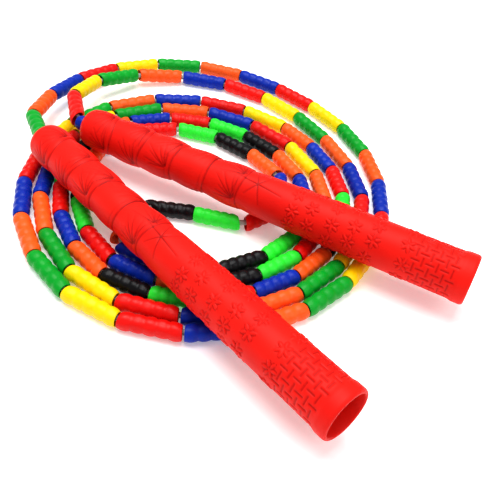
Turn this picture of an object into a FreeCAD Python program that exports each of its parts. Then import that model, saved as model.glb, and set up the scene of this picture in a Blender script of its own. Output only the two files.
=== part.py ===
import FreeCAD, Part
import math
import os
import Sketcher

# Beaded jump rope: a thin cord threaded through ribbed beads, lying as a loose flat coil,
# with a hollow flared handle turning freely on each end of the cord.
# Millimetres. +Z is up and Z = 0 is the surface that the beads lie on.
# The rope is folded in half: both halves run from a handle clockwise and inward to the bight.

Vector = FreeCAD.Vector

SIZES = {
    # cord, washers and knots
    "cord_radius": 1.25,
    "washer_radius": 5.8,
    "washer_thickness": 1.2,
    "washer_bore_radius": 1.6,
    "knot_radius": 3.4,
    "knot_bore_radius": 1.6,
    # beads: ring-ribbed tubes in two lengths
    "bead_bore_radius": 2.9,
    "bead_crest_radius": 3.7,
    "bead_valley_radius": 3.3,
    "bead_face_radius": 3.1,
    "bead_end_chamfer": 0.5,
    "long_bead_length": 24.4,
    "short_bead_length": 20.2,
    # handle: stations are distances from the nose along the handle's axis
    "nose_hole_radius": 4.15,
    "nose_face_radius": 4.65,
    "nose_round_station": 4.6,
    "nose_round_radius": 4.65,
    "shoulder_radius": 9.2,
    "swell_station": 36.0,
    "swell_radius": 9.5,
    "waist_station": 66.0,
    "waist_radius": 8.9,
    "grip_station": 96.0,
    "grip_radius": 9.75,
    "flare_station": 141.0,
    "flare_radius": 10.25,
    "band_station": 185.0,
    "band_radius": 10.5,
    "lip_start_station": 188.0,
    "lip_radius": 10.95,
    "lip_end_station": 190.4,
    "handle_length": 192.0,
    "rim_radius": 9.95,
    "mouth_radius": 9.2,
    "mouth_step_station": 176.0,
    "tube_end_station": 174.0,
    "tube_end_radius": 8.7,
    "inner_flare_radius": 8.5,
    "inner_grip_radius": 8.1,
    "inner_waist_radius": 7.3,
    "inner_swell_radius": 7.9,
    "inner_shoulder_station": 20.0,
    "inner_shoulder_radius": 7.6,
    "plug_station": 16.0,
    "plug_radius": 6.6,
}

# Each handle: nose position, then the heading and rise of its axis in degrees, nose to mouth.
HANDLES = {
    "front": ((-95.0, 58.0, 17.9), -45.75, 0.6),
    "back": ((-78.0, 73.0, 17.9), -25.7, 0.3),
}
# How far the swivel bead in each nose stands out of it.
BUSH_STAND_OUT = {"front": 1.5, "back": 5.5}
KNOT_GAP = 0.3

# The coil lies in one layer. Its two halves are wound side by side, clockwise and inward, in
# lanes: the front half has the even lanes and the back half the odd ones. Each spoke from the
# coil's centre gives the radius of lane 0 and the step inward from one lane to the next.
COIL_CENTRE = (-17.0, 60.0)
COIL_HEIGHT = 4.0
FIRST_SPOKE = 120.0
SPOKE_TURN = 30.0
SPOKES = [
    (97.0, 10.2), (91.0, 11.0), (88.0, 11.6), (84.5, 10.5), (87.5, 10.0), (90.5, 8.6),
    (96.0, 8.7), (102.5, 8.7), (101.0, 8.6), (93.0, 8.8), (87.0, 8.7), (84.0, 8.6),
]
COIL_STEPS = {"front": (4, 31), "back": (3, 28)}
# Stations on the handles' axes that the cord's ends pass through, from the knot outward.
END_STATIONS = {"front": (30.5, 13.0, -5.0), "back": (27.5, 11.0, -7.0)}
# The cord sags this much inside the handle, half way between its knot and the nose.
END_SAG = 0.4
# From each nose down to the surface and round to where the coil begins.
LEADS = {
    "front": [(-111.0, 88.0, 13.5), (-95.0, 141.0, 7.0), (-52.0, 170.0, 4.0),
              (-8.0, 166.0, 4.0), (31.0, 143.0, 4.0), (61.0, 106.0, 4.0)],
    "back": [(-92.0, 100.0, 16.5), (-88.0, 123.0, 12.0), (-73.0, 143.0, 7.5),
             (-44.0, 155.0, 4.0), (-7.0, 150.0, 4.0), (24.0, 129.0, 4.0)],
}
# The bight at the rope's middle, from the front half's last lane to the back half's.
BIGHT = [
    (-34.0, -3.0, 4.0), (-53.0, 6.0, 4.0), (-50.0, 33.0, 4.0), (-25.0, 33.0, 4.0),
    (2.0, 26.0, 4.0), (19.0, 39.0, 4.0),
]
CORNER_SHARE = 0.45

# Bead colours along the cord. The outer lengths of the rope repeat five colours with long beads,
# and the middle length repeats another five with short beads.
FRONT_REPEAT = ["green", "orange", "blue", "red", "yellow"]
BACK_REPEAT = ["blue", "red", "yellow", "green", "orange"]
MIDDLE_REPEAT = ["blue", "red", "lime", "black", "orange"]
FRONT_LONG = 30
BACK_LONG = 28
FRONT_MIDDLE = 24
BACK_MIDDLE = 19
BIGHT_COLOURS = ["orange", "blue", "orange"]
COLOURS = ["green", "orange", "blue", "red", "yellow", "lime", "black"]
BEAD_CLEARANCE = 0.2

doc = FreeCAD.newDocument("jump_rope")
sheet = doc.addObject("Spreadsheet::Sheet", "sizes")
sheet.Label = "sizes"
for row, (alias, value) in enumerate(SIZES.items(), start=1):
    sheet.set("A%d" % row, alias)
    sheet.set("B%d" % row, str(value))
    sheet.setAlias("B%d" % row, alias)
doc.recompute()


def origin_plane(body, role):
    for feature in body.Origin.OriginFeatures:
        if feature.Role == role:
            return feature
    raise ValueError(role)


def revolved_body(name, nodes, arcs):
    """Body turned about its X axis from a closed profile of (station, radius) nodes.

    A node's station and radius are each a (value, expression) pair. arcs maps an edge's index to
    such a pair for its arc radius, and the side it bulges to.
    """
    body = doc.addObject("PartDesign::Body", name)
    body.Label = name
    sketch = body.newObject("Sketcher::SketchObject", name + "_profile")
    sketch.AttachmentSupport = [(origin_plane(body, "XY_Plane"), "")]
    sketch.MapMode = "FlatFace"
    count = len(nodes)
    starts = []
    ends = []
    for index in range(count):
        first = Vector(nodes[index][0][0], nodes[index][1][0], 0)
        last = Vector(nodes[(index + 1) % count][0][0], nodes[(index + 1) % count][1][0], 0)
        if index in arcs:
            (radius, _), side = arcs[index]
            chord = last - first
            rise = radius - math.sqrt(radius ** 2 - chord.Length ** 2 / 4)
            normal = Vector(-chord.y, chord.x, 0).normalize()
            middle = (first + last) / 2 + normal * rise * side
            geometry = sketch.addGeometry(Part.Arc(first, middle, last), False)
        else:
            geometry = sketch.addGeometry(Part.LineSegment(first, last), False)
        at_start = (sketch.getPoint(geometry, 1) - first).Length < 1e-6
        starts.append((geometry, 1 if at_start else 2))
        ends.append((geometry, 2 if at_start else 1))
    for index in range(count):
        sketch.addConstraint(Sketcher.Constraint("Coincident", *ends[index - 1], *starts[index]))
    for index, (station, radius) in enumerate(nodes):
        geometry, point = starts[index]
        if station[1] is None:
            sketch.addConstraint(Sketcher.Constraint("PointOnObject", geometry, point, -2))
        else:
            bind(sketch, "DistanceX", (-1, 1, geometry, point), station, "station_%d" % index)
        bind(sketch, "DistanceY", (-1, 1, geometry, point), radius, "radius_%d" % index)
    for index, (radius, side) in arcs.items():
        bind(sketch, "Radius", (starts[index][0],), radius, "arc_%d" % index)
    turned = body.newObject("PartDesign::Revolution", name + "_turned")
    turned.Profile = sketch
    turned.ReferenceAxis = (sketch, ["H_Axis"])
    turned.Angle = 360.0
    doc.recompute()
    return body


def bind(sketch, kind, where, value, name):
    number = sketch.addConstraint(Sketcher.Constraint(kind, *where, value[0]))
    sketch.renameConstraint(number, name)
    sketch.setExpression("Constraints." + name, value[1])


def sized(alias):
    return SIZES[alias], "sizes." + alias


RIBS = 5


def rib_arc(kind):
    """Radius of the ribs' arcs: the crest's height over a fifth of the ribbed length."""
    pitch = (SIZES[kind + "_bead_length"] - 2 * SIZES["bead_end_chamfer"]) / RIBS
    height = SIZES["bead_crest_radius"] - SIZES["bead_valley_radius"]
    pitch_text = "((sizes.%s_bead_length - 2 * sizes.bead_end_chamfer) / %d)" % (kind, RIBS)
    height_text = "(sizes.bead_crest_radius - sizes.bead_valley_radius)"
    radius = (pitch ** 2 / 4 + height ** 2) / (2 * height)
    return radius, "(%s ^ 2 / 4 + %s ^ 2) / (2 * %s)" % (pitch_text, height_text, height_text)


def bead_nodes(kind):
    """Profile of one bead: bore, flat end faces, chamfered ends and the rib valleys."""
    length = SIZES[kind + "_bead_length"]
    chamfer = SIZES["bead_end_chamfer"]
    nodes = [((0.0, None), sized("bead_bore_radius")), ((0.0, None), sized("bead_face_radius"))]
    for rib in range(RIBS + 1):
        station = chamfer + rib * (length - 2 * chamfer) / RIBS
        ribbed = "(sizes.%s_bead_length - 2 * sizes.bead_end_chamfer)" % kind
        place = (station, "sizes.bead_end_chamfer + %d * %s / %d" % (rib, ribbed, RIBS))
        nodes.append((place, sized("bead_valley_radius")))
    nodes.append((sized(kind + "_bead_length"), sized("bead_face_radius")))
    nodes.append((sized(kind + "_bead_length"), sized("bead_bore_radius")))
    return nodes


beads = {}
for kind in ("long", "short"):
    rib_arcs = {edge: (rib_arc(kind), 1) for edge in range(2, 2 + RIBS)}
    beads[kind] = revolved_body(kind + "_bead_master", bead_nodes(kind), rib_arcs)

HANDLE_NODES = [
    (None, "nose_hole_radius"),
    (None, "nose_face_radius"),
    ("nose_round_station", "shoulder_radius"),
    ("swell_station", "swell_radius"),
    ("waist_station", "waist_radius"),
    ("grip_station", "grip_radius"),
    ("flare_station", "flare_radius"),
    ("band_station", "band_radius"),
    ("lip_start_station", "lip_radius"),
    ("lip_end_station", "lip_radius"),
    ("handle_length", "rim_radius"),
    ("handle_length", "mouth_radius"),
    ("mouth_step_station", "mouth_radius"),
    ("tube_end_station", "tube_end_radius"),
    ("flare_station", "inner_flare_radius"),
    ("grip_station", "inner_grip_radius"),
    ("waist_station", "inner_waist_radius"),
    ("swell_station", "inner_swell_radius"),
    ("inner_shoulder_station", "inner_shoulder_radius"),
    ("plug_station", "plug_radius"),
    ("plug_station", "nose_hole_radius"),
]
handle_nodes = []
for station, radius in HANDLE_NODES:
    place = (0.0, None) if station is None else sized(station)
    handle_nodes.append((place, sized(radius)))


def handle_axis(side):
    nose, heading, rise = HANDLES[side]
    heading = math.radians(heading)
    rise = math.radians(rise)
    flat = math.cos(rise)
    return Vector(math.cos(heading) * flat, math.sin(heading) * flat, math.sin(rise))


def along_handle(side, station):
    return Vector(*HANDLES[side][0]) + handle_axis(side) * station


nodes_out = []
for side in ("front", "back"):
    nose_arc = {1: (sized("nose_round_radius"), 1)}
    handle = revolved_body(side + "_handle", handle_nodes, nose_arc)
    turn = FreeCAD.Rotation(Vector(1, 0, 0), handle_axis(side))
    handle.Placement = FreeCAD.Placement(along_handle(side, 0.0), turn)
    nodes_out.append(handle)


def coil_turns(side):
    """Corner points of one half's turns, from its lead to the bight."""
    first, last = COIL_STEPS[side]
    points = []
    for step in range(first, last + 1):
        turn, spoke = divmod(step, len(SPOKES))
        lane = 2 * turn + (side == "back")
        outer, gap = SPOKES[spoke]
        radius = outer - gap * lane
        angle = math.radians(FIRST_SPOKE - SPOKE_TURN * step)
        x = COIL_CENTRE[0] + radius * math.cos(angle)
        y = COIL_CENTRE[1] + radius * math.sin(angle)
        points.append((x, y, COIL_HEIGHT))
    return points


def half_route(side):
    """Corner points of one half of the cord, from its knot to the bight."""
    inside = [along_handle(side, station) for station in END_STATIONS[side]]
    inside[1].z -= END_SAG
    return [tuple(point) for point in inside] + LEADS[side] + coil_turns(side)


def rounded_route(points):
    """Straight runs joined by tangent arcs; returns the edges and the arcs' radii."""
    corners = [Vector(*point) for point in points]
    edges = []
    radii = []
    here = corners[0]
    for before, corner, after in zip(corners, corners[1:], corners[2:]):
        back = before - corner
        ahead = after - corner
        reach = CORNER_SHARE * min(back.Length, ahead.Length)
        turn = math.pi - back.getAngle(ahead)
        radius = reach / math.tan(turn / 2)
        back.normalize()
        ahead.normalize()
        start = corner + back * reach
        end = corner + ahead * reach
        inward = (back + ahead).normalize()
        middle = corner + inward * (radius / math.cos(turn / 2) - radius)
        edges.append(Part.LineSegment(here, start).toShape())
        edges.append(Part.Arc(start, middle, end).toShape())
        radii.append(radius)
        here = end
    edges.append(Part.LineSegment(here, corners[-1]).toShape())
    return edges, radii


route = half_route("front") + BIGHT + half_route("back")[::-1]
edges, radii = rounded_route(route)
print("cord arc radii, mm:", " ".join("%.0f" % radius for radius in radii))
route_wire = Part.Wire(edges)
outline = Part.Circle(Vector(*route[0]), edges[0].tangentAt(0), SIZES["cord_radius"])
section = Part.Wire([outline.toShape()])
cord = doc.addObject("Part::Feature", "cord")
cord.Label = "cord"
cord.Shape = route_wire.makePipeShell([section], True, False)
expected = math.pi * SIZES["cord_radius"] ** 2 * route_wire.Length
print("cord length %.1f mm" % route_wire.Length)
print("cord volume %.1f, section x length %.1f" % (cord.Shape.Volume, expected))
if abs(cord.Shape.Volume / expected - 1) > 0.01:
    raise ValueError("the cord's volume is wrong")
nodes_out.append(cord)

# Points along the route every half millimetre, with their distance from its start.
samples = route_wire.discretize(Distance=0.5)
reach = [0.0]
for first, last in zip(samples, samples[1:]):
    reach.append(reach[-1] + (last - first).Length)


def at(distance):
    """Point on the route at a distance from its start."""
    low = 0
    high = len(reach) - 1
    while high - low > 1:
        middle = (low + high) // 2
        if reach[middle] <= distance:
            low = middle
        else:
            high = middle
    share = (distance - reach[low]) / (reach[high] - reach[low])
    return samples[low] + (samples[high] - samples[low]) * share


def nearest(point):
    gaps = [(sample - point).Length for sample in samples]
    return reach[gaps.index(min(gaps))]


front_colours = [FRONT_REPEAT[k % 5] for k in range(FRONT_LONG)] + ["orange"]
front_colours += [MIDDLE_REPEAT[k % 5] for k in range(FRONT_MIDDLE)]
back_colours = [BACK_REPEAT[k % 5] for k in range(BACK_LONG)] + ["orange"]
back_colours += [MIDDLE_REPEAT[k % 5] for k in range(BACK_MIDDLE)]
# The back half's first bead is the one in the back handle's nose.
colours = front_colours + BIGHT_COLOURS + back_colours[:0:-1]
halves = ["front"] * (len(front_colours) + len(BIGHT_COLOURS)) + ["back"] * (len(back_colours) - 1)
kinds = ["long"] * FRONT_LONG
kinds += ["short"] * (len(colours) - FRONT_LONG - (BACK_LONG - 1))
kinds += ["long"] * (BACK_LONG - 1)


def bead_places():
    """Centre and direction of every bead between the noses.

    A bead's two ends lie on the cord's line, a bead's length apart. Neighbours need more room
    where the cord bends, because their ends are square. The gaps get that room first, and what
    is left of the cord is shared evenly between them.
    """
    lengths = [SIZES[kind + "_bead_length"] for kind in kinds]
    start = nearest(along_handle("front", -BUSH_STAND_OUT["front"]))
    end = nearest(along_handle("back", -BUSH_STAND_OUT["back"]))
    spans = list(lengths)
    needs = [BEAD_CLEARANCE] * (len(lengths) + 1)
    for attempt in range(10):
        spare = (end - start - sum(spans) - sum(needs)) / len(needs)
        here = start
        ends = []
        for need, span in zip(needs, spans):
            here += need + spare
            ends.append((here, here + span))
            here += span
        chords = [at(b) - at(a) for a, b in ends]
        spans = [span + length - chord.Length for span, length, chord in zip(spans, lengths, chords)]
        along = [handle_axis("front") * -1] + chords + [handle_axis("back")]
        bends = [a.getAngle(b) for a, b in zip(along, along[1:])]
        face = SIZES["bead_face_radius"]
        needs = [BEAD_CLEARANCE + 2 * face * math.tan(bend / 2) for bend in bends]
    print("beads %d, spare per gap %.3f mm" % (len(lengths), spare))
    places = []
    for (a, b), chord in zip(ends, chords):
        chord_middle = (at(a) + at(b)) / 2
        centre = (chord_middle + at((a + b) / 2)) / 2
        places.append((centre, chord.normalize()))
    return places


def placed_bead(kind, centre, direction):
    half = SIZES[kind + "_bead_length"] / 2
    turn = FreeCAD.Rotation(Vector(1, 0, 0), direction)
    solid = beads[kind].Shape.copy()
    solid.Placement = FreeCAD.Placement(centre - direction * half, turn)
    return solid


places = bead_places()
for half in ("front", "back"):
    for colour in COLOURS:
        solids = []
        for bead, (centre, direction) in enumerate(places):
            if halves[bead] == half and colours[bead] == colour:
                solids.append(placed_bead(kinds[bead], centre, direction))
        group = doc.addObject("Part::Feature", "beads_%s_%s" % (half, colour))
        group.Label = group.Name
        group.Shape = Part.makeCompound(solids)
        nodes_out.append(group)
        print("%s: %d beads" % (group.Label, len(solids)))

# In each nose: the swivel bead, and behind it the washer and the knot that hold the handle on.
for side in ("front", "back"):
    turn = FreeCAD.Rotation(Vector(0, 0, 1), handle_axis(side))
    bead_end = SIZES["long_bead_length"] - BUSH_STAND_OUT[side]
    bush = doc.addObject("Part::Feature", side + "_swivel_bead")
    bush.Label = bush.Name
    centre = along_handle(side, bead_end - SIZES["long_bead_length"] / 2)
    bush.Shape = placed_bead("long", centre, handle_axis(side))
    nodes_out.append(bush)

    disc = doc.addObject("Part::Cylinder", side + "_washer_disc")
    disc.setExpression("Radius", "sizes.washer_radius")
    disc.setExpression("Height", "sizes.washer_thickness")
    bore = doc.addObject("Part::Cylinder", side + "_washer_bore")
    bore.setExpression("Radius", "sizes.washer_bore_radius")
    bore.setExpression("Height", "sizes.washer_thickness")
    washer = doc.addObject("Part::Cut", side + "_washer")
    washer.Label = washer.Name
    washer.Base = disc
    washer.Tool = bore
    washer_start = bead_end + KNOT_GAP
    washer.Placement = FreeCAD.Placement(along_handle(side, washer_start), turn)
    nodes_out.append(washer)

    ball = doc.addObject("Part::Sphere", side + "_knot_ball")
    ball.setExpression("Radius", "sizes.knot_radius")
    ball.Placement.Base = Vector(0, 0, SIZES["knot_radius"])
    passage = doc.addObject("Part::Cylinder", side + "_knot_passage")
    passage.setExpression("Radius", "sizes.knot_bore_radius")
    passage.setExpression("Height", "2 * sizes.knot_radius")
    knot = doc.addObject("Part::Cut", side + "_knot")
    knot.Label = knot.Name
    knot.Base = ball
    knot.Tool = passage
    knot_start = washer_start + SIZES["washer_thickness"] + KNOT_GAP
    knot.Placement = FreeCAD.Placement(along_handle(side, knot_start), turn)
    nodes_out.append(knot)

doc.recompute()
for item in doc.Objects:
    if "Invalid" in item.State or "Error" in item.State:
        raise ValueError("%s did not build: %s" % (item.Name, item.State))

os.makedirs("parts", exist_ok=True)
for node in nodes_out:
    if node.Shape.isNull() or not node.Shape.isValid():
        raise ValueError("%s has a bad shape" % node.Label)
    node.Shape.exportStep("parts/%s.step" % node.Label)
    print("%s: volume %.1f, solids %d" % (node.Label, node.Shape.Volume, len(node.Shape.Solids)))
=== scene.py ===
import math
import random

import bpy
import numpy as np
from mathutils import Matrix, Vector


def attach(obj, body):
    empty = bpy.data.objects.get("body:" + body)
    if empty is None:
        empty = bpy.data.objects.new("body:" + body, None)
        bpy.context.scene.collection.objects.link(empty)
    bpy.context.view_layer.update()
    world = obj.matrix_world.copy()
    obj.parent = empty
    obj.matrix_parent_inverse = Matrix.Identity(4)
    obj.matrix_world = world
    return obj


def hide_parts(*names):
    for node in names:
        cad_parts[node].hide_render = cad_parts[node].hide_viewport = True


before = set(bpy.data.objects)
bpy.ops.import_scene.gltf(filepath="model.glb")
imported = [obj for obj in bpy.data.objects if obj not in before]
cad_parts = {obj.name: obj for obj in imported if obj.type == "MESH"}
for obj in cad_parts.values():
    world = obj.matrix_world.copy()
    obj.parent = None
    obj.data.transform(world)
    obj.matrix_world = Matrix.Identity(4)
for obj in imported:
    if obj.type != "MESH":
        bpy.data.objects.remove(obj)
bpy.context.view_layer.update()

# Beaded jump rope: a loose flat coil of ribbed beads on a thin cord, with two hollow red
# handles. Lengths are in metres, and MM turns millimetres into them.
MM = 0.001
random.seed(7)


# ---------------------------------------------------------------- camera

CAMERA_PLACE = Vector((-5.6, -197.2, 201.4)) * MM
CAMERA_HEADING = math.radians(3.0)
CAMERA_DOWN = math.radians(43.45)
CAMERA_ROLL = math.radians(7.6)
CAMERA_LENS = 47.1


def add_camera():
    forward = Vector((
        math.sin(CAMERA_HEADING) * math.cos(CAMERA_DOWN),
        math.cos(CAMERA_HEADING) * math.cos(CAMERA_DOWN),
        -math.sin(CAMERA_DOWN),
    ))
    level = Vector((math.cos(CAMERA_HEADING), -math.sin(CAMERA_HEADING), 0))
    above = level.cross(forward)
    right = level * math.cos(CAMERA_ROLL) + above * math.sin(CAMERA_ROLL)
    up = above * math.cos(CAMERA_ROLL) - level * math.sin(CAMERA_ROLL)
    turn = Matrix((right, up, -forward)).transposed()
    data = bpy.data.cameras.new("camera")
    data.lens = CAMERA_LENS
    data.sensor_width = 36
    data.clip_start = 0.01
    camera = bpy.data.objects.new("camera", data)
    camera.matrix_world = Matrix.Translation(CAMERA_PLACE) @ turn.to_4x4()
    bpy.context.scene.collection.objects.link(camera)
    bpy.context.scene.camera = camera


add_camera()


# ---------------------------------------------------------------- the handles' places

def axis(heading, rise):
    heading = math.radians(heading)
    rise = math.radians(rise)
    flat = math.cos(rise)
    return np.array((math.cos(heading) * flat, math.sin(heading) * flat, math.sin(rise)))


NOSE = {
    "front": np.array((-95.0, 58.0, 17.9)) * MM,
    "back": np.array((-78.0, 73.0, 17.9)) * MM,
}
AXIS = {"front": axis(-45.75, 0.6), "back": axis(-25.7, 0.3)}
# How far the swivel bead in each nose stands out of it.
STAND_OUT = {"front": 1.5 * MM, "back": 5.5 * MM}


# ---------------------------------------------------------------- the cord

CORD_DIAMETER = 2.5 * MM

# The route's control points are the CAD's corner points, in millimetres.
# The coil lies in one layer. Its two halves are wound side by side, clockwise and inward, in
# lanes: the front half has the even lanes and the back half the odd ones. Each spoke from the
# coil's centre gives the radius of lane 0 and the step inward from one lane to the next.
COIL_CENTRE = (-17.0, 60.0)
COIL_HEIGHT = 4.0
FIRST_SPOKE = 120.0
SPOKE_TURN = 30.0
SPOKES = [
    (97.0, 10.2), (91.0, 11.0), (88.0, 11.6), (84.5, 10.5), (87.5, 10.0), (90.5, 8.6),
    (96.0, 8.7), (102.5, 8.7), (101.0, 8.6), (93.0, 8.8), (87.0, 8.7), (84.0, 8.6),
]
COIL_STEPS = {"front": (4, 31), "back": (3, 28)}
# Stations on the handles' axes that the cord's ends pass through, from the knot outward.
END_STATIONS = {"front": (30.5, 13.0, -5.0), "back": (27.5, 11.0, -7.0)}
# The cord sags this much inside the handle, half way between its knot and the nose.
END_SAG = 0.4
# From each nose down to the surface and round to where the coil begins.
LEADS = {
    "front": [(-111.0, 88.0, 13.5), (-95.0, 141.0, 7.0), (-52.0, 170.0, 4.0),
              (-8.0, 166.0, 4.0), (31.0, 143.0, 4.0), (61.0, 106.0, 4.0)],
    "back": [(-92.0, 100.0, 16.5), (-88.0, 123.0, 12.0), (-73.0, 143.0, 7.5),
             (-44.0, 155.0, 4.0), (-7.0, 150.0, 4.0), (24.0, 129.0, 4.0)],
}
# The bight at the rope's middle, from the front half's last lane to the back half's.
BIGHT = [
    (-34.0, -3.0, 4.0), (-53.0, 6.0, 4.0), (-50.0, 33.0, 4.0), (-25.0, 33.0, 4.0),
    (2.0, 26.0, 4.0), (19.0, 39.0, 4.0),
]


def coil_turns(side):
    """Control points of one half's turns, from its lead to the bight."""
    first, last = COIL_STEPS[side]
    points = []
    for step in range(first, last + 1):
        turn, spoke = divmod(step, len(SPOKES))
        lane = 2 * turn + (side == "back")
        outer, gap = SPOKES[spoke]
        radius = outer - gap * lane
        angle = math.radians(FIRST_SPOKE - SPOKE_TURN * step)
        x = COIL_CENTRE[0] + radius * math.cos(angle)
        y = COIL_CENTRE[1] + radius * math.sin(angle)
        points.append((x, y, COIL_HEIGHT))
    return points


def half_route(side):
    """Control points of one half of the cord, from its knot to the bight."""
    inside = [NOSE[side] / MM + AXIS[side] * station for station in END_STATIONS[side]]
    inside[1][2] -= END_SAG
    return [tuple(point) for point in inside] + LEADS[side] + coil_turns(side)


ROUTE = half_route("front") + BIGHT + half_route("back")[::-1]


def route_curve(name, thickness):
    curve = bpy.data.curves.new(name, "CURVE")
    curve.dimensions = "3D"
    curve.resolution_u = 14
    curve.bevel_depth = thickness
    curve.bevel_resolution = 4
    curve.use_fill_caps = True
    spline = curve.splines.new("NURBS")
    spline.points.add(len(ROUTE) - 1)
    for point, place in zip(spline.points, ROUTE):
        point.co = (place[0] * MM, place[1] * MM, place[2] * MM, 1)
    spline.order_u = 3
    spline.use_endpoint_u = True
    obj = bpy.data.objects.new(name, curve)
    bpy.context.scene.collection.objects.link(obj)
    return obj


def centreline():
    """Points along the cord's own line, read from the spline."""
    thin = route_curve("cord_centreline", 0.0)
    bpy.context.view_layer.update()
    graph = bpy.context.evaluated_depsgraph_get()
    mesh = bpy.data.meshes.new_from_object(thin.evaluated_get(graph), depsgraph=graph)
    points = np.array([vertex.co for vertex in mesh.vertices])
    bpy.data.meshes.remove(mesh)
    bpy.data.objects.remove(thin)
    return points


LINE = centreline()
REACH = np.concatenate(([0.0], np.cumsum(np.linalg.norm(np.diff(LINE, axis=0), axis=1))))


def at(distances):
    """Points on the cord's line at these distances from its start."""
    return np.stack([np.interp(distances, REACH, LINE[:, k]) for k in range(3)], axis=-1)


def nearest(point):
    fine = np.linspace(0, REACH[-1], 12000)
    gaps = np.linalg.norm(at(fine) - point, axis=1)
    return fine[np.argmin(gaps)]


# ---------------------------------------------------------------- beads

LONG_BEAD = 25.0 * MM
SHORT_BEAD = 20.8 * MM
BEAD_BORE = 2.8 * MM
BEAD_FACE = 2.95 * MM
BEAD_CORE = 3.3 * MM
RIB_HEIGHT = 0.36 * MM
LOBE_HEIGHT = 0.16 * MM
BEAD_END_ROUND = 0.5 * MM
# Room between neighbours: the least, and how much of it a bend adds and its first part saves.
LEAST_GAP = 0.05 * MM
BEND_ROOM = 6.6 * MM
BEND_SAVING = 0.55 * MM
RIBS = 5
LOBES = 6
BEAD_SIDES = 48
STEPS_PER_RIB = 6
END_STEPS = 3

FRONT_REPEAT = ["green", "orange", "blue", "red", "yellow"]
BACK_REPEAT = ["blue", "red", "yellow", "green", "orange"]
MIDDLE_REPEAT = ["blue", "red", "lime", "black", "orange"]
FRONT_LONG = 30
BACK_LONG = 28
FRONT_MIDDLE = 24
BACK_MIDDLE = 19
BIGHT_COLOURS = ["orange", "blue", "orange"]
COLOURS = ["green", "orange", "blue", "red", "yellow", "lime", "black"]
SWIVEL_COLOUR = {"front": "yellow", "back": "blue"}


def bead_list():
    """(half, colour, length) of every bead between the noses, in order along the cord."""
    front = [FRONT_REPEAT[k % 5] for k in range(FRONT_LONG)] + ["orange"]
    front += [MIDDLE_REPEAT[k % 5] for k in range(FRONT_MIDDLE)]
    back = [BACK_REPEAT[k % 5] for k in range(BACK_LONG)] + ["orange"]
    back += [MIDDLE_REPEAT[k % 5] for k in range(BACK_MIDDLE)]
    # The back half's first bead is the swivel bead in the back handle's nose.
    colours = front + BIGHT_COLOURS + back[:0:-1]
    halves = ["front"] * (len(front) + len(BIGHT_COLOURS)) + ["back"] * (len(back) - 1)
    short = len(colours) - FRONT_LONG - (BACK_LONG - 1)
    lengths = [LONG_BEAD] * FRONT_LONG + [SHORT_BEAD] * short + [LONG_BEAD] * (BACK_LONG - 1)
    return list(zip(halves, colours, lengths))


BEADS = bead_list()


def unit(vectors):
    return vectors / np.linalg.norm(vectors, axis=-1, keepdims=True)


def bead_places():
    """Centre, direction and end faces' normals of every bead, with its ends on the cord's line.

    Neighbours stand further apart where the cord bends, with their end faces pressed parallel.
    What is left of the cord is shared evenly between the gaps.
    """
    lengths = np.array([length for half, colour, length in BEADS])
    start = nearest(NOSE["front"] - AXIS["front"] * STAND_OUT["front"])
    end = nearest(NOSE["back"] - AXIS["back"] * STAND_OUT["back"])
    spans = lengths.copy()
    gaps = np.full(len(BEADS) + 1, LEAST_GAP)
    for attempt in range(10):
        spare = (end - start - spans.sum() - gaps.sum()) / len(gaps)
        before = np.concatenate(([0.0], np.cumsum(spans)[:-1]))
        first = start + np.cumsum(gaps[:-1] + spare) + before
        last = first + spans
        chords = at(last) - at(first)
        spans = spans + lengths - np.linalg.norm(chords, axis=1)
        along = unit(chords)
        joined = np.vstack((-AXIS["front"], along, AXIS["back"]))
        bends = np.arccos(np.clip((joined[1:] * joined[:-1]).sum(axis=1), -1, 1))
        gaps = np.maximum(LEAST_GAP, BEND_ROOM * np.tan(bends / 2) - BEND_SAVING)
    centres = ((at(first) + at(last)) / 2 + at((first + last) / 2)) / 2
    shared = unit(along[1:] + along[:-1])
    start_faces = np.vstack((-AXIS["front"], shared))
    end_faces = np.vstack((shared, AXIS["back"]))
    return list(zip(centres, along, start_faces, end_faces))


def bump_row(share):
    """Row of round bumps with sharp valleys between them; share counts the bumps."""
    return 1 - (2 * (share % 1.0) - 1) ** 2


def bead_grid(length):
    """Closed grid of one bead along +X: rows of points around, outer wall then bore."""
    stations = []
    for k in range(END_STEPS + 1):
        stations.append(BEAD_END_ROUND * (1 - math.cos(k / END_STEPS * math.pi / 2)))
    ribbed = length - 2 * BEAD_END_ROUND
    steps = RIBS * STEPS_PER_RIB
    stations += [BEAD_END_ROUND + ribbed * k / steps for k in range(1, steps)]
    stations += [length - station for station in reversed(stations[:END_STEPS + 1])]
    stations = np.array(stations)
    around = np.linspace(0, 2 * math.pi, BEAD_SIDES, endpoint=False)
    depth = np.minimum(stations, length - stations)
    rounding = np.sqrt(1 - (1 - np.clip(depth / BEAD_END_ROUND, 0, 1)) ** 2)
    rib = np.clip((stations - BEAD_END_ROUND) / ribbed * RIBS, 0, RIBS - 1e-6)
    ribs = bump_row(rib)[:, None]
    # Neighbouring ribs are turned against each other by half a lobe.
    lobes = bump_row(around / (2 * math.pi) * LOBES + 0.5 * (np.floor(rib)[:, None] % 2))
    full = BEAD_CORE + ribs * (RIB_HEIGHT + LOBE_HEIGHT * lobes)
    radii = BEAD_FACE + (full - BEAD_FACE) * rounding[:, None]
    rows = [(station, radius) for station, radius in zip(stations, radii)]
    bore = np.full(len(around), BEAD_BORE)
    rows += [(length, bore), (length / 2, bore), (0.0, bore)]
    points = []
    for station, radius in rows:
        across = np.full(len(around), station - length / 2)
        points.append(np.stack((across, radius * np.cos(around), radius * np.sin(around)), axis=1))
    return np.array(points)


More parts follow.
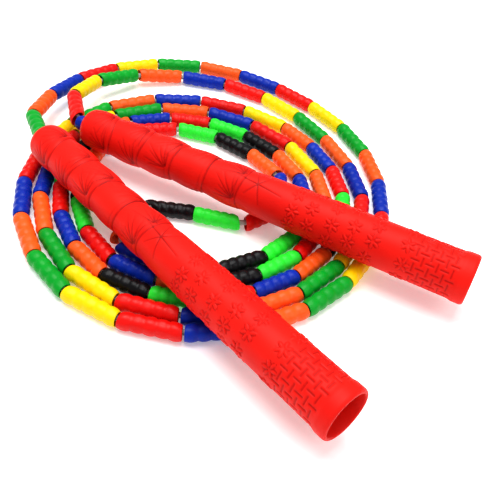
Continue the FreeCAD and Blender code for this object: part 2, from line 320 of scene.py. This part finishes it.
def grid_faces(rows, columns):
    """Quads of a grid that closes both ways; they face out when the rows run along +X and the
    columns run from +Y towards +Z."""
    row = np.arange(rows)[:, None]
    column = np.arange(columns)[None, :]
    next_row = (row + 1) % rows
    next_column = (column + 1) % columns
    corners = (
        row * columns + column,
        row * columns + next_column,
        next_row * columns + next_column,
        next_row * columns + column,
    )
    return np.stack([np.broadcast_to(c, (rows, columns)).ravel() for c in corners], axis=1)


def place_matrix(direction, roll=0.0):
    """Turn that takes +X to the direction, rolled about it; its rows are the turned axes."""
    side = unit(np.cross((0.0, 0.0, 1.0), direction))
    up = np.cross(direction, side)
    return np.array((
        direction,
        side * math.cos(roll) + up * math.sin(roll),
        up * math.cos(roll) - side * math.sin(roll),
    ))


def mesh_piece(name, points, faces, material):
    mesh = bpy.data.meshes.new(name)
    mesh.from_pydata(points.tolist(), [], faces.tolist())
    mesh.polygons.foreach_set("use_smooth", [True] * len(mesh.polygons))
    mesh.materials.append(material)
    mesh.update()
    obj = bpy.data.objects.new(name, mesh)
    bpy.context.scene.collection.objects.link(obj)
    return obj


BEAD_GRIDS = {length: bead_grid(length) for length in (LONG_BEAD, SHORT_BEAD)}


def pressed(points, length, centre, direction, start_face, end_face):
    """A bead's points, sheared towards its ends so that the end faces get the given normals."""
    offset = points - centre
    station = offset @ direction
    across = offset - station[:, None] * direction
    share = station / length + 0.5
    shift = np.zeros(len(points))
    for face, weight in ((start_face, 1 - share), (end_face, share)):
        shift -= np.clip(weight, 0, 1) ** 2 * (across @ face) / (direction @ face)
    return points + shift[:, None] * direction


def bead_group(name, items, material):
    """One piece of several beads; items are (length, (centre, direction, start, end face))."""
    points = []
    faces = []
    tones = []
    used = 0
    for length, (centre, direction, start_face, end_face) in items:
        grid = BEAD_GRIDS[length]
        turn = place_matrix(direction, random.uniform(0, 2 * math.pi))
        placed = grid.reshape(-1, 3) @ turn + centre
        placed = pressed(placed, length, centre, direction, start_face, end_face)
        points.append(placed)
        faces.append(grid_faces(*grid.shape[:2]) + used)
        tones += [random.random()] * len(placed)
        used += len(placed)
    obj = mesh_piece(name, np.concatenate(points), np.concatenate(faces), material)
    tone = obj.data.attributes.new("tone", "FLOAT", "POINT")
    tone.data.foreach_set("value", tones)
    return obj


# ---------------------------------------------------------------- handles

HANDLE_LENGTH = 192.0
SHOULDER_STATION = 4.6
NOSE_FACE_RADIUS = 4.65
NOSE_HOLE_RADIUS = 4.15
# (station, radius) of the outside between the shoulder and the rim band, in millimetres.
OUTSIDE = [(4.6, 9.2), (36, 9.5), (66, 8.9), (96, 9.75), (141, 10.25), (185, 10.5)]
BAND_STATION = 185.0
LIP_RADIUS = 10.95
LIP_START = 187.6
LIP_END = 190.4
RIM_RADIUS = 9.95
INSIDE = [
    (192.0, 9.6), (191.4, 9.25), (176.0, 9.2), (174.0, 8.7), (141.0, 8.5), (96.0, 8.1),
    (66.0, 7.3), (36.0, 7.9), (20.0, 7.6), (16.3, 6.8), (16.0, 6.4), (16.0, 4.5),
    (15.8, NOSE_HOLE_RADIUS), (0.3, NOSE_HOLE_RADIUS), (0.0, 4.35),
]
COLUMNS = 200

# The tape wrap near the nose.
WRAP_START = 17.0
WRAP_PITCH = 18.0
WRAP_TURNS = 5
WRAP_SWELL = 0.72
WRAP_STEP = 0.3
WRAP_SINK = 0.4
# The handle's radius where a pattern's distances around it are measured.
WRAP_RADIUS = 9.4
PATTERN_RADIUS = 10.0
# Fans of creases: the rays' depth and width, and how many there are.
CREASE_DEPTH = 0.3
CREASE_WIDTH = 0.3
FANS_AROUND = 3
RAYS_PER_FAN = 7
GREAT_STAR_STATION = 95.0
# The stars' rows and the block pattern near the mouth.
STAR_ROWS = [113.5, 122.5, 131.5, 140.5, 149.5, 163.5]
STARS_AROUND = 8
STAR_ARMS = 6
STAR_REACH = 3.25
STAR_HUB = 0.7
PETAL_HALF_WIDTH = 0.62
STAR_HEIGHT = 0.3
STAR_RIM_DEPTH = 0.24
BLOCK_START = 167.0
BLOCK_END = 185.6
BLOCK_PITCH = 3.1
BLOCKS_AROUND = 20
GROOVE_DEPTH = 0.42
GROOVE_WIDTH = 0.34


def soft_step(value):
    value = np.clip(value, 0, 1)
    return value * value * (3 - 2 * value)


def outside_radius(stations):
    """Smoothed outside radius, with the round nose and the rolled lip."""
    fine = np.arange(-30, 221, 0.5)
    knots = np.array(OUTSIDE)
    straight = np.interp(fine, knots[:, 0], knots[:, 1])
    window = np.exp(-0.5 * (np.arange(-40, 41) * 0.5 / 6.0) ** 2)
    smooth = np.convolve(straight, window / window.sum(), "same")
    body = np.interp(stations, fine, smooth)
    nose = np.clip(stations / SHOULDER_STATION, 0, 1)
    round_nose = NOSE_FACE_RADIUS + (body - NOSE_FACE_RADIUS) * np.sqrt(1 - (1 - nose) ** 2)
    lip = soft_step((stations - BAND_STATION) / (LIP_START - BAND_STATION))
    with_lip = round_nose + (LIP_RADIUS - round_nose) * lip
    end = np.clip((stations - LIP_END) / (HANDLE_LENGTH - LIP_END), 0, 1)
    return with_lip - (LIP_RADIUS - RIM_RADIUS) * (1 - np.sqrt(1 - end ** 2))


def line_groove(s, c, start, end, width):
    """1 in the middle of a straight line from start to end, fading to 0 at its sides."""
    run = np.array(end) - np.array(start)
    span = np.hypot(*run)
    run = run / span
    ds = s - start[0]
    dc = c - start[1]
    along = ds * run[0] + dc * run[1]
    across = -ds * run[1] + dc * run[0]
    beyond = along - np.clip(along, 0, span)
    distance = np.hypot(across, beyond)
    return np.exp(-(distance / width) ** 2), np.clip(along / span, 0, 1)


def wrapped(c, around):
    """c brought to within half the way round of zero."""
    return (c + around / 2) % around - around / 2


def seam_station(turn, angle):
    base = WRAP_START + WRAP_PITCH * turn
    return base + 1.7 * np.sin(angle + 0.8 * turn + 0.6) + 0.7 * np.sin(2 * angle + 1.9 * turn)


def wrap_relief(s, angle):
    """Overlapping turns of tape: each is a pillow with a step at its free edge and a hem."""
    relief = np.full_like(s, -WRAP_SINK)
    painted_shade = np.zeros_like(s)
    for turn in range(WRAP_TURNS):
        before = seam_station(turn - 1, angle)
        seam = seam_station(turn, angle)
        share = np.clip((s - before) / (seam - before), 0, 1)
        inside = (s <= seam) & (s > before)
        pillow = WRAP_SWELL * np.sin(math.pi * share ** 1.3) + WRAP_STEP * share
        fall = soft_step((seam - s) / 0.7)
        relief = np.where(inside, pillow * fall - WRAP_SINK, relief)
        hem = np.exp(-((s - seam + 2.2) / 0.3) ** 2)
        relief -= 0.1 * hem
        # Painted shade: darker along the hem and at the seam, where shade falls.
        painted_shade += 0.3 * hem + 0.8 * np.exp(-((s - seam) / 0.35) ** 2)
    last = seam_station(WRAP_TURNS - 1, angle)
    fade = soft_step((s - 2) / 6) * (1 - soft_step((s - last) / 8))
    return relief * fade, painted_shade


def crease(s, angle, apex, headings, gap):
    """Creases that fan out from a point; headings are (direction, reach) pairs."""
    station, place = apex
    relief = np.zeros_like(s)
    around = wrapped((angle - place) * WRAP_RADIUS, 2 * math.pi * WRAP_RADIUS)
    for heading, reach in headings:
        ray = np.array((math.cos(heading), math.sin(heading)))
        depth, share = line_groove(s - station, around, ray * gap, ray * reach, CREASE_WIDTH)
        relief = np.maximum(relief, depth * (1 - 0.65 * share))
    return relief


def wrap_creases(s, angle):
    """Fans of creases in the tape, from points near the seams towards the nose and around."""
    relief = np.zeros_like(s)
    picks = random.Random(11)
    for turn in range(WRAP_TURNS):
        for fan in range(FANS_AROUND):
            place = picks.uniform(-0.5, 0.5) + fan * 2 * math.pi / FANS_AROUND - 0.4
            apex = (seam_station(turn, place) - picks.uniform(0.5, 2.0), place)
            side = picks.choice((-1, 1))
            headings = []
            for ray in range(RAYS_PER_FAN):
                spread = math.radians(92 + ray * 16 + picks.uniform(-5, 5))
                headings.append((side * spread, picks.uniform(7.5, 14.0)))
            relief = np.maximum(relief, crease(s, angle, apex, headings, 0.8))
    return relief


def great_star(s, angle, place):
    """Long creases that meet in one point where the wrap ends."""
    reaches = (12.0, 9.0, 7.5, 11.0, 8.0, 9.5)
    headings = [(math.radians(8 + 60 * ray), reach) for ray, reach in enumerate(reaches)]
    return 1.2 * crease(s, angle, (GREAT_STAR_STATION, place), headings, 0.3)


def star_relief(s, angle):
    """Raised stars of six petals in staggered rows around the handle."""
    relief = np.zeros_like(s)
    painted_shade = np.zeros_like(s)
    picks = random.Random(5)
    around = 2 * math.pi * PATTERN_RADIUS
    for row, station in enumerate(STAR_ROWS):
        near = np.abs(s[:, 0] - station) < STAR_REACH + 1.5
        for star in range(STARS_AROUND):
            centre = (star + 0.5 * (row % 2)) * around / STARS_AROUND + picks.uniform(-0.6, 0.6)
            middle = station + picks.uniform(-0.9, 0.9)
            twist = picks.uniform(0, math.pi / 3)
            ds = s[near] - middle
            dc = wrapped(angle[near] * PATTERN_RADIUS - centre, around)
            distance = np.hypot(ds, dc)
            turn = np.arctan2(dc, ds) - twist
            sector = 2 * math.pi / STAR_ARMS
            off = np.abs(wrapped(turn, sector)) * distance
            share = np.clip((distance - STAR_HUB) / (STAR_REACH - STAR_HUB), 0, 1)
            half_width = PETAL_HALF_WIDTH * np.sqrt(share * (1 - share) * 4 + 1e-9)
            inside = (distance > STAR_HUB) & (distance < STAR_REACH)
            petal = soft_step((half_width - off) / 0.3 + 0.5) * inside
            rim = np.exp(-((off - half_width - 0.22) / 0.2) ** 2) * inside
            relief[near] += STAR_HEIGHT * petal - STAR_RIM_DEPTH * rim
            # Painted shade darkens the groove round each petal.
            painted_shade[near] += 0.5 * rim
    return relief, painted_shade


def block_relief(s, angle):
    """Short grooves, turn about along and around the handle, that part the blocks."""
    across = angle / (2 * math.pi) * BLOCKS_AROUND
    along = (s - BLOCK_START) / BLOCK_PITCH
    groove = np.zeros_like(s)
    for shift_s in (-1, 0, 1):
        for shift_c in (-1, 0, 1):
            cell_s = np.floor(along) + shift_s
            cell_c = np.floor(across) + shift_c
            ds = (along - cell_s - 0.5) * BLOCK_PITCH
            dc = (across - cell_c - 0.5) * BLOCK_PITCH
            lengthwise = (cell_s + cell_c) % 2 == 0
            run = np.where(lengthwise, ds, dc)
            off = np.where(lengthwise, dc, ds)
            beyond = np.maximum(np.abs(run) - 0.5 * BLOCK_PITCH, 0)
            distance = np.hypot(off, beyond)
            valid = (cell_s >= 0) & (cell_s < round((BLOCK_END - BLOCK_START) / BLOCK_PITCH))
            groove = np.maximum(groove, np.exp(-(distance / GROOVE_WIDTH) ** 2) * valid)
    return groove


def handle_relief(s, angle):
    """Height above the plain outside, and painted shade, 0 to 1, in creases, seams and grooves."""
    wrap, wrap_painted_shade = wrap_relief(s, angle)
    creases = wrap_creases(s, angle) + great_star(s, angle, 0.28)
    stars, star_painted_shade = star_relief(s, angle)
    blocks = block_relief(s, angle)
    relief = wrap + stars - CREASE_DEPTH * creases - GROOVE_DEPTH * blocks
    # The creases, seams, star rims and block grooves are painted darker too: painted shade.
    return relief, np.clip(0.85 * (wrap_painted_shade + creases) + star_painted_shade + 0.6 * blocks, 0, 1)


def handle_grid(spin):
    """Closed grid of one handle shell along +X, in millimetres: outside, then the hollow."""
    nose = SHOULDER_STATION * (1 - np.cos(np.linspace(0, math.pi / 2, 12)))
    wrap = np.arange(5.1, 105.0, 0.45)
    pattern = np.arange(105.0, LIP_START, 0.38)
    lip = np.linspace(LIP_START, LIP_END, 8)
    end = LIP_END + (HANDLE_LENGTH - LIP_END) * np.sin(np.linspace(0.1, math.pi / 2, 8))
    stations = np.concatenate((nose, wrap, pattern, lip, end))
    angles = np.linspace(0, 2 * math.pi, COLUMNS, endpoint=False)
    s = np.repeat(stations[:, None], COLUMNS, axis=1)
    angle = np.repeat(angles[None, :], len(stations), axis=0)
    relief, painted_shade = handle_relief(s, angle - spin)
    outside = outside_radius(stations)[:, None] + relief
    rows = [(station, row) for station, row in zip(stations, outside)]
    for (station, bore), (station_after, bore_after) in zip(INSIDE, INSIDE[1:]):
        steps = max(1, round(abs(station_after - station) / 6))
        for k in range(steps):
            share = k / steps
            here = station + (station_after - station) * share
            rows.append((here, np.full(COLUMNS, bore + (bore_after - bore) * share)))
    rows.append((INSIDE[-1][0], np.full(COLUMNS, INSIDE[-1][1])))
    points = []
    for station, row in rows:
        places = (np.full(COLUMNS, station), -row * np.sin(angles), row * np.cos(angles))
        points.append(np.stack(places, axis=1))
    painted_shade = np.vstack((painted_shade, np.zeros((len(rows) - len(stations), COLUMNS))))
    return np.array(points), painted_shade


def handle_piece(side, spin, material):
    grid, painted_shade = handle_grid(spin)
    turn = place_matrix(AXIS[side])
    points = grid.reshape(-1, 3) * MM @ turn + NOSE[side]
    obj = mesh_piece(side + "_handle_shell", points, grid_faces(*grid.shape[:2]), material)
    # Painted shade, stored per point for the handle's material.
    attribute = obj.data.attributes.new("painted_shade", "FLOAT", "POINT")
    attribute.data.foreach_set("value", painted_shade.ravel())
    return obj


# ---------------------------------------------------------------- washers and knots

WASHER_RADIUS = 5.8 * MM
WASHER_BORE = 1.6 * MM
WASHER_THICKNESS = 1.2 * MM
WASHER_EDGE = 0.18 * MM
WASHER_SIDES = 64
KNOT_GAP = 0.3 * MM
KNOT_RADIUS = 3.4 * MM


def washer_piece(side, station, material):
    thick = WASHER_THICKNESS
    edge = WASHER_EDGE
    profile = [
        (0.0, WASHER_BORE + edge), (0.0, WASHER_RADIUS - edge), (edge, WASHER_RADIUS),
        (thick - edge, WASHER_RADIUS), (thick, WASHER_RADIUS - edge),
        (thick, WASHER_BORE + edge), (thick - edge, WASHER_BORE), (edge, WASHER_BORE),
    ]
    around = np.linspace(0, 2 * math.pi, WASHER_SIDES, endpoint=False)
    rows = []
    for across, radius in profile:
        level = np.full(WASHER_SIDES, across)
        rows.append(np.stack((level, radius * np.cos(around), radius * np.sin(around)), axis=1))
    grid = np.array(rows)
    points = grid.reshape(-1, 3) @ place_matrix(AXIS[side]) + NOSE[side] + AXIS[side] * station
    obj = mesh_piece(side + "_washer_disc", points, grid_faces(*grid.shape[:2]), material)
    obj.data.polygons.foreach_set("use_smooth", [False] * len(obj.data.polygons))
    return obj


def knot_piece(side, station, material):
    """An overhand knot drawn tight: a closed three-lobed loop of the cord."""
    rings = 120
    sides = 12
    turn = np.linspace(0, 2 * math.pi, rings, endpoint=False)
    loop = np.stack((
        1.35 * np.sin(3 * turn),
        (2 + np.cos(3 * turn)) * np.cos(2 * turn),
        (2 + np.cos(3 * turn)) * np.sin(2 * turn),
    ), axis=1)
    tube = CORD_DIAMETER / 2 * 0.92
    loop = loop * (KNOT_RADIUS - tube) / 3
    ahead = unit(np.roll(loop, -1, axis=0) - np.roll(loop, 1, axis=0))
    outward = unit(loop - ahead * (loop * ahead).sum(axis=1, keepdims=True))
    beside = np.cross(ahead, outward)
    around = np.linspace(0, 2 * math.pi, sides, endpoint=False)[None, :, None]
    grid = loop[:, None, :] + tube * (
        outward[:, None, :] * np.cos(around) + beside[:, None, :] * np.sin(around)
    )
    points = grid.reshape(-1, 3) @ place_matrix(AXIS[side])
    points = points + NOSE[side] + AXIS[side] * (station + KNOT_RADIUS)
    return mesh_piece(side + "_tied_knot", points, grid_faces(rings, sides), material)


# ---------------------------------------------------------------- materials

def new_material(name):
    material = bpy.data.materials.new(name)
    material.use_nodes = True
    nodes = material.node_tree.nodes
    shader = nodes["Principled BSDF"]
    return material, nodes, material.node_tree.links, shader


def noise_mix(nodes, links, scale, low, high, vector=None):
    """Colour that wanders between two colours with a noise of that scale."""
    noise = nodes.new("ShaderNodeTexNoise")
    noise.inputs["Scale"].default_value = scale
    noise.inputs["Detail"].default_value = 4
    if vector is not None:
        links.new(vector, noise.inputs["Vector"])
    ramp = nodes.new("ShaderNodeValToRGB")
    ramp.color_ramp.elements[0].position = 0.35
    ramp.color_ramp.elements[1].position = 0.65
    ramp.color_ramp.elements[0].color = (*low, 1)
    ramp.color_ramp.elements[1].color = (*high, 1)
    links.new(noise.outputs["Fac"], ramp.inputs["Fac"])
    return ramp.outputs["Color"]


def value_range(nodes, links, source, low, high):
    span = nodes.new("ShaderNodeMapRange")
    span.inputs["To Min"].default_value = low
    span.inputs["To Max"].default_value = high
    links.new(source, span.inputs["Value"])
    return span.outputs["Result"]


def object_place(nodes):
    return nodes.new("ShaderNodeTexCoord").outputs["Object"]


def bump(nodes, links, shader, source, strength, distance):
    node = nodes.new("ShaderNodeBump")
    node.inputs["Strength"].default_value = strength
    node.inputs["Distance"].default_value = distance
    links.new(source, node.inputs["Height"])
    links.new(node.outputs["Normal"], shader.inputs["Normal"])


def attribute_mix(nodes, links, name, low, high):
    """Colour between two colours by a value stored in the mesh."""
    stored = nodes.new("ShaderNodeAttribute")
    stored.attribute_name = name
    mix = nodes.new("ShaderNodeMix")
    mix.data_type = "RGBA"
    for socket, colour in (("A", low), ("B", high)):
        if isinstance(colour, tuple):
            mix.inputs[socket].default_value = (*colour, 1)
        else:
            links.new(colour, mix.inputs[socket])
    links.new(stored.outputs["Fac"], mix.inputs["Factor"])
    return mix.outputs["Result"]


def bead_material(colour, base, deep):
    """Satin moulded plastic, each bead a little lighter or deeper than the next."""
    material, nodes, links, shader = new_material("bead_" + colour)
    place = object_place(nodes)
    cloud = noise_mix(nodes, links, 160, base, deep, vector=place)
    toned = attribute_mix(nodes, links, "tone", base, deep)
    both = nodes.new("ShaderNodeMix")
    both.data_type = "RGBA"
    both.inputs["Factor"].default_value = 0.4
    links.new(toned, both.inputs["A"])
    links.new(cloud, both.inputs["B"])
    links.new(both.outputs["Result"], shader.inputs["Base Color"])
    grain = nodes.new("ShaderNodeTexNoise")
    grain.inputs["Scale"].default_value = 900
    grain.inputs["Detail"].default_value = 3
    links.new(place, grain.inputs["Vector"])
    roughness = value_range(nodes, links, grain.outputs["Fac"], 0.3, 0.46)
    links.new(roughness, shader.inputs["Roughness"])
    bump(nodes, links, shader, grain.outputs["Fac"], 0.12, 0.0002)
    shader.inputs["Specular IOR Level"].default_value = 0.22
    return material


def handle_material():
    """Soft red plastic with a satin surface, a fine pebbled grain and painted shade in creases."""
    material, nodes, links, shader = new_material("handle_red")
    place = object_place(nodes)
    plain = noise_mix(nodes, links, 60, (0.80, 0.016, 0.009), (0.72, 0.013, 0.008), vector=place)
    # Painted shade: the red turns a deep dark red by the stored shade value.
    colour = attribute_mix(nodes, links, "painted_shade", plain, (0.26, 0.003, 0.003))
    links.new(colour, shader.inputs["Base Color"])
    grain = nodes.new("ShaderNodeTexNoise")
    grain.inputs["Scale"].default_value = 1500
    grain.inputs["Detail"].default_value = 4
    links.new(place, grain.inputs["Vector"])
    cloud = nodes.new("ShaderNodeTexNoise")
    cloud.inputs["Scale"].default_value = 90
    links.new(place, cloud.inputs["Vector"])
    roughness = value_range(nodes, links, cloud.outputs["Fac"], 0.42, 0.56)
    links.new(roughness, shader.inputs["Roughness"])
    bump(nodes, links, shader, grain.outputs["Fac"], 0.2, 0.0002)
    shader.inputs["Specular IOR Level"].default_value = 0.14
    return material


def cord_material():
    """Off-white cord with a fine pebbled weave."""
    material, nodes, links, shader = new_material("cord_braid")
    place = object_place(nodes)
    colour = noise_mix(nodes, links, 300, (0.52, 0.51, 0.48), (0.40, 0.39, 0.36), vector=place)
    links.new(colour, shader.inputs["Base Color"])
    braid = nodes.new("ShaderNodeTexVoronoi")
    braid.inputs["Scale"].default_value = 1600
    links.new(place, braid.inputs["Vector"])
    bump(nodes, links, shader, braid.outputs["Distance"], 0.5, 0.0003)
    shader.inputs["Roughness"].default_value = 0.75
    return material


def steel_material():
    material, nodes, links, shader = new_material("washer_steel")
    place = object_place(nodes)
    colour = noise_mix(nodes, links, 400, (0.62, 0.62, 0.64), (0.5, 0.5, 0.52), vector=place)
    links.new(colour, shader.inputs["Base Color"])
    scratches = nodes.new("ShaderNodeTexNoise")
    scratches.inputs["Scale"].default_value = 2500
    links.new(place, scratches.inputs["Vector"])
    roughness = value_range(nodes, links, scratches.outputs["Fac"], 0.22, 0.42)
    links.new(roughness, shader.inputs["Roughness"])
    shader.inputs["Metallic"].default_value = 1.0
    return material


BEAD_PAINT = {
    "green": ((0.002, 0.37, 0.030), (0.001, 0.28, 0.022)),
    "orange": ((0.90, 0.125, 0.018), (0.86, 0.10, 0.012)),
    "blue": ((0.004, 0.036, 0.42), (0.002, 0.024, 0.32)),
    "red": ((0.78, 0.009, 0.006), (0.66, 0.007, 0.005)),
    "yellow": ((0.92, 0.70, 0.003), (0.88, 0.62, 0.002)),
    "lime": ((0.035, 0.82, 0.05), (0.025, 0.70, 0.04)),
    "black": ((0.005, 0.005, 0.006), (0.004, 0.004, 0.005)),
}


# ---------------------------------------------------------------- assembly

paints = {colour: bead_material(colour, *BEAD_PAINT[colour]) for colour in COLOURS}
cord_paint = cord_material()
steel = steel_material()
red = handle_material()

cord = route_curve("cord_line", CORD_DIAMETER / 2)
cord.data.materials.append(cord_paint)
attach(cord, "rope")
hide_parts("cord")

places = bead_places()
for half in ("front", "back"):
    for colour in COLOURS:
        items = []
        for (its_half, its_colour, length), place in zip(BEADS, places):
            if its_half == half and its_colour == colour:
                items.append((length, place))
        group = bead_group("%s_%s_beads" % (half, colour), items, paints[colour])
        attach(group, "rope")
        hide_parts("beads_%s_%s" % (half, colour))

for side in ("front", "back"):
    colour = SWIVEL_COLOUR[side]
    bead_end = LONG_BEAD - STAND_OUT[side]
    middle = NOSE[side] + AXIS[side] * (bead_end - LONG_BEAD / 2)
    place = (middle, AXIS[side], AXIS[side], AXIS[side])
    swivel = bead_group(side + "_nose_bead", [(LONG_BEAD, place)], paints[colour])
    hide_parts(side + "_swivel_bead")
    washer_start = bead_end + KNOT_GAP
    washer = washer_piece(side, washer_start, steel)
    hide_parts(side + "_washer")
    knot = knot_piece(side, washer_start + WASHER_THICKNESS + KNOT_GAP, cord_paint)
    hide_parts(side + "_knot")
    for piece in (swivel, washer, knot):
        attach(piece, "rope")

HANDLE_SPIN = {"front": 0.0, "back": 0.15}
for side in ("front", "back"):
    shell = handle_piece(side, HANDLE_SPIN[side], red)
    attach(shell, side + "_handle")
    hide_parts(side + "_handle")


# ---------------------------------------------------------------- studio

def add_floor():
    mesh = bpy.data.meshes.new("floor")
    half = 3.0
    corners = [(-half, -half, 0), (half, -half, 0), (half, half, 0), (-half, half, 0)]
    mesh.from_pydata(corners, [], [(0, 1, 2, 3)])
    material, nodes, links, shader = new_material("floor_paper")
    colour = noise_mix(nodes, links, 3, (0.93, 0.93, 0.93), (0.90, 0.90, 0.90))
    links.new(colour, shader.inputs["Base Color"])
    shader.inputs["Roughness"].default_value = 0.9
    shader.inputs["Specular IOR Level"].default_value = 0.0
    shader.inputs["Emission Color"].default_value = (1, 1, 1, 1)
    shader.inputs["Emission Strength"].default_value = 0.22
    mesh.materials.append(material)
    floor = bpy.data.objects.new("floor", mesh)
    bpy.context.scene.collection.objects.link(floor)
    return floor


def add_light(name, place, target, size, power):
    data = bpy.data.lights.new(name, "AREA")
    data.shape = "DISK"
    data.size = size
    data.energy = power
    light = bpy.data.objects.new(name, data)
    light.location = place
    aim = Vector(target) - Vector(place)
    light.rotation_euler = aim.to_track_quat("-Z", "Y").to_euler()
    bpy.context.scene.collection.objects.link(light)


def add_world():
    world = bpy.data.worlds.new("studio")
    world.use_nodes = True
    background = world.node_tree.nodes["Background"]
    background.inputs["Color"].default_value = (1, 1, 1, 1)
    background.inputs["Strength"].default_value = 0.40
    bpy.context.scene.world = world


add_floor()
add_light("key", (-0.15, 0.2, 1.1), (0, 0.03, 0), 1.0, 13.0)
add_light("fill", (0.7, -0.4, 0.8), (0, 0.03, 0), 0.9, 3.0)
add_world()
bpy.context.scene.view_settings.view_transform = "Standard"
bpy.context.scene.view_settings.look = "Medium High Contrast"
